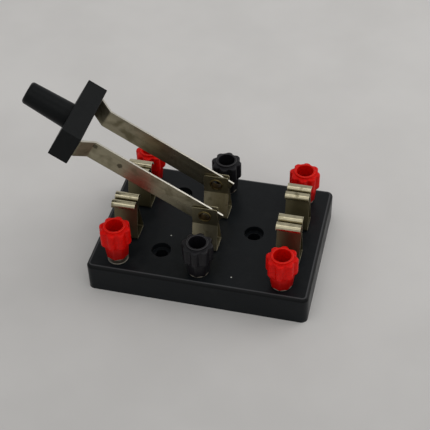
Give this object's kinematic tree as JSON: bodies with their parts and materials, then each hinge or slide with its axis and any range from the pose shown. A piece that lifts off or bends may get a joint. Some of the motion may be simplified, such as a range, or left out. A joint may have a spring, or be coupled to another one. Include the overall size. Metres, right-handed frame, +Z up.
{
  "type": "double-pole double-throw knife switch",
  "caption": "Double-throw knife switch on a moulded base: a hinged lever with twin blades drops into spring jaws at either end, with screw-down binding posts.",
  "frame": {"origin": "centre of the underside of the base, on the bottom of its centre rib", "axes": "+Z up out of the base, +X along the long side of the base towards the right-hand jaws, +Y towards the back row of posts; the lever rests raised towards -X"},
  "size_m": [0.1396, 0.075, 0.0872],
  "materials": {
    "base_moulding": "fine moulded black phenolic",
    "bar_moulding": "moulded black, dull",
    "grip_moulding": "moulded black, satin",
    "cap_red": "moulded red, semi-gloss",
    "cap_black": "moulded black, semi-gloss",
    "plated_clip": "nickel plate, slightly tarnished",
    "plated_blade": "nickel-plated strip with rubbed marks",
    "plated_post": "nickel plate",
    "eyelet_brass": "brass, tarnished",
    "insert_brass": "turned brass",
    "strap_brass": "stamped brass",
    "fastener_steel": "zinc-plated steel"
  },
  "bodies": {
    "base_frame": {"base": "base_moulding", "post_stud_front_left": "plated_post", "link_strap_front_left": "strap_brass", "jaw_front_left": "plated_clip", "post_stud_front_middle": "plated_post", "link_strap_front_middle": "strap_brass", "hinge_bracket_front": "plated_clip", "post_stud_front_right": "plated_post", "link_strap_front_right": "strap_brass", "jaw_front_right": "plated_clip", "post_stud_back_left": "plated_post", "link_strap_back_left": "strap_brass", "jaw_back_left": "plated_clip", "post_stud_back_middle": "plated_post", "link_strap_back_middle": "strap_brass", "hinge_bracket_back": "plated_clip", "post_stud_back_right": "plated_post", "link_strap_back_right": "strap_brass", "jaw_back_right": "plated_clip", "pivot_eyelet_front": "eyelet_brass", "pivot_eyelet_back": "eyelet_brass", "post_spring_washers": "fastener_steel", "post_nuts": "fastener_steel", "clip_spring_washers": "fastener_steel", "clip_nuts": "fastener_steel", "clip_screws": "fastener_steel"},
    "lever": {"blade_front": "plated_blade", "blade_back": "plated_blade", "crossbar": "bar_moulding", "handle": "grip_moulding", "handle_screw": "fastener_steel"},
    "insert_body_front_left": {"cap_insert_front_left": "insert_brass"},
    "cap_body_front_left": {"cap_front_left": "cap_red"},
    "insert_body_front_middle": {"cap_insert_front_middle": "insert_brass"},
    "cap_body_front_middle": {"cap_front_middle": "cap_black"},
    "insert_body_front_right": {"cap_insert_front_right": "insert_brass"},
    "cap_body_front_right": {"cap_front_right": "cap_red"},
    "insert_body_back_left": {"cap_insert_back_left": "insert_brass"},
    "cap_body_back_left": {"cap_back_left": "cap_red"},
    "insert_body_back_middle": {"cap_insert_back_middle": "insert_brass"},
    "cap_body_back_middle": {"cap_back_middle": "cap_black"},
    "insert_body_back_right": {"cap_insert_back_right": "insert_brass"},
    "cap_body_back_right": {"cap_back_right": "cap_red"}
  },
  "joints": [
    {"name": "lever_hinge", "type": "hinge", "parent": "base_frame", "child": "lever", "pos_m": [-0.0006, 0, 0.0338], "axis": [0, 1, 0], "range_deg": [-30.3, 149.7]},
    {"name": "cap_lift_front_left", "type": "slide", "parent": "base_frame", "child": "insert_body_front_left", "axis": [0, 0, 1], "range_m": [-0.0026, 0.0034]},
    {"name": "cap_turn_front_left", "type": "hinge", "parent": "insert_body_front_left", "child": "cap_body_front_left", "pos_m": [-0.0389, -0.029, 0.0165], "axis": [0, 0, 1], "range_deg": [-936, 1224]},
    {"name": "cap_lift_front_middle", "type": "slide", "parent": "base_frame", "child": "insert_body_front_middle", "axis": [0, 0, 1], "range_m": [0, 0.006]},
    {"name": "cap_turn_front_middle", "type": "hinge", "parent": "insert_body_front_middle", "child": "cap_body_front_middle", "pos_m": [0, -0.029, 0.0165], "axis": [0, 0, 1], "range_deg": [0, 2160]},
    {"name": "cap_lift_front_right", "type": "slide", "parent": "base_frame", "child": "insert_body_front_right", "axis": [0, 0, 1], "range_m": [0, 0.006]},
    {"name": "cap_turn_front_right", "type": "hinge", "parent": "insert_body_front_right", "child": "cap_body_front_right", "pos_m": [0.0389, -0.029, 0.0165], "axis": [0, 0, 1], "range_deg": [0, 2160]},
    {"name": "cap_lift_back_left", "type": "slide", "parent": "base_frame", "child": "insert_body_back_left", "axis": [0, 0, 1], "range_m": [0, 0.006]},
    {"name": "cap_turn_back_left", "type": "hinge", "parent": "insert_body_back_left", "child": "cap_body_back_left", "pos_m": [-0.0389, 0.029, 0.0165], "axis": [0, 0, 1], "range_deg": [0, 2160]},
    {"name": "cap_lift_back_middle", "type": "slide", "parent": "base_frame", "child": "insert_body_back_middle", "axis": [0, 0, 1], "range_m": [0, 0.006]},
    {"name": "cap_turn_back_middle", "type": "hinge", "parent": "insert_body_back_middle", "child": "cap_body_back_middle", "pos_m": [0, 0.029, 0.0165], "axis": [0, 0, 1], "range_deg": [0, 2160]},
    {"name": "cap_lift_back_right", "type": "slide", "parent": "base_frame", "child": "insert_body_back_right", "axis": [0, 0, 1], "range_m": [0, 0.006]},
    {"name": "cap_turn_back_right", "type": "hinge", "parent": "insert_body_back_right", "child": "cap_body_back_right", "pos_m": [0.0389, 0.029, 0.0165], "axis": [0, 0, 1], "range_deg": [0, 2160]}
  ],
  "couplings": [
    {"joint": "cap_turn_front_left", "follows": "cap_lift_front_left", "rad_per_m": 6283.2},
    {"joint": "cap_turn_front_middle", "follows": "cap_lift_front_middle", "rad_per_m": 6283.2},
    {"joint": "cap_turn_front_right", "follows": "cap_lift_front_right", "rad_per_m": 6283.2},
    {"joint": "cap_turn_back_left", "follows": "cap_lift_back_left", "rad_per_m": 6283.2},
    {"joint": "cap_turn_back_middle", "follows": "cap_lift_back_middle", "rad_per_m": 6283.2},
    {"joint": "cap_turn_back_right", "follows": "cap_lift_back_right", "rad_per_m": 6283.2}
  ]
}
